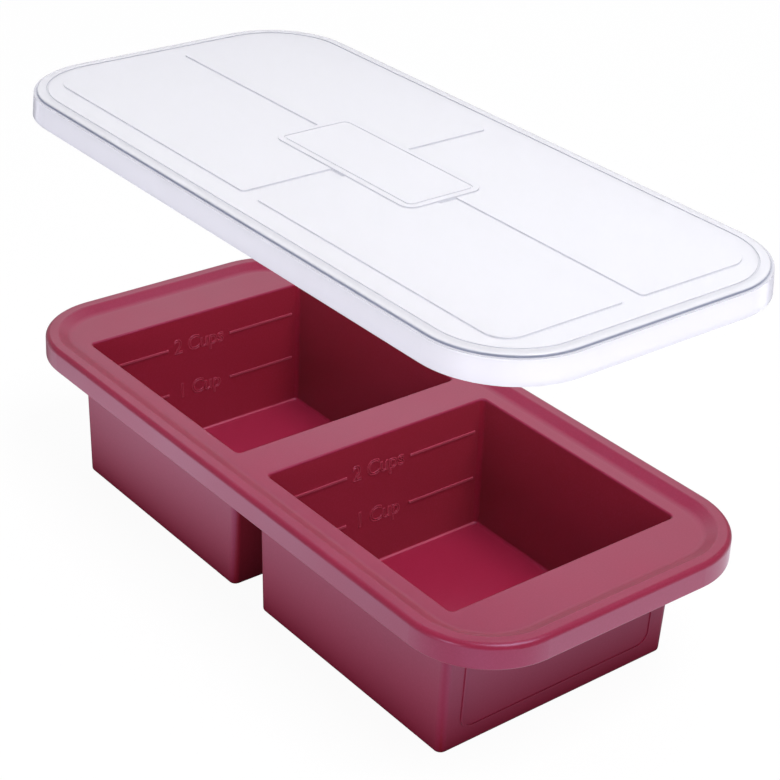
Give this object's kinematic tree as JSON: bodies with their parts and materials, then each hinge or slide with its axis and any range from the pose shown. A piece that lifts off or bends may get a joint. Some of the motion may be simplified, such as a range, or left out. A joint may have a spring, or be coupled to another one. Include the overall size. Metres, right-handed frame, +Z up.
{
  "type": "baby food freezer tray",
  "caption": "Flexible freezer tray with deep square pockets, raised level marks, a stiffening wire sealed in its rim and a stiff lid that lifts straight off.",
  "frame": {"origin": "on the table, under the middle of the tray and its lid", "axes": "+X along the tray towards the pocket whose outer end wall has the raised frame, +Y across the tray, +Z up, the way the lid lifts off"},
  "size_m": [0.3004, 0.1444, 0.1702],
  "materials": {
    "silicone": "moulded, satin",
    "wire": "drawn",
    "lid": "frosted, milky"
  },
  "bodies": {
    "tray": {"silicone_tray": "silicone", "rim_wire": "wire"},
    "lid": {"lid": "lid"}
  },
  "joints": [
    {"name": "lid_lift", "type": "slide", "parent": "tray", "child": "lid", "axis": [0, 0, 1], "range_m": [-0.1049, 0.05]}
  ]
}
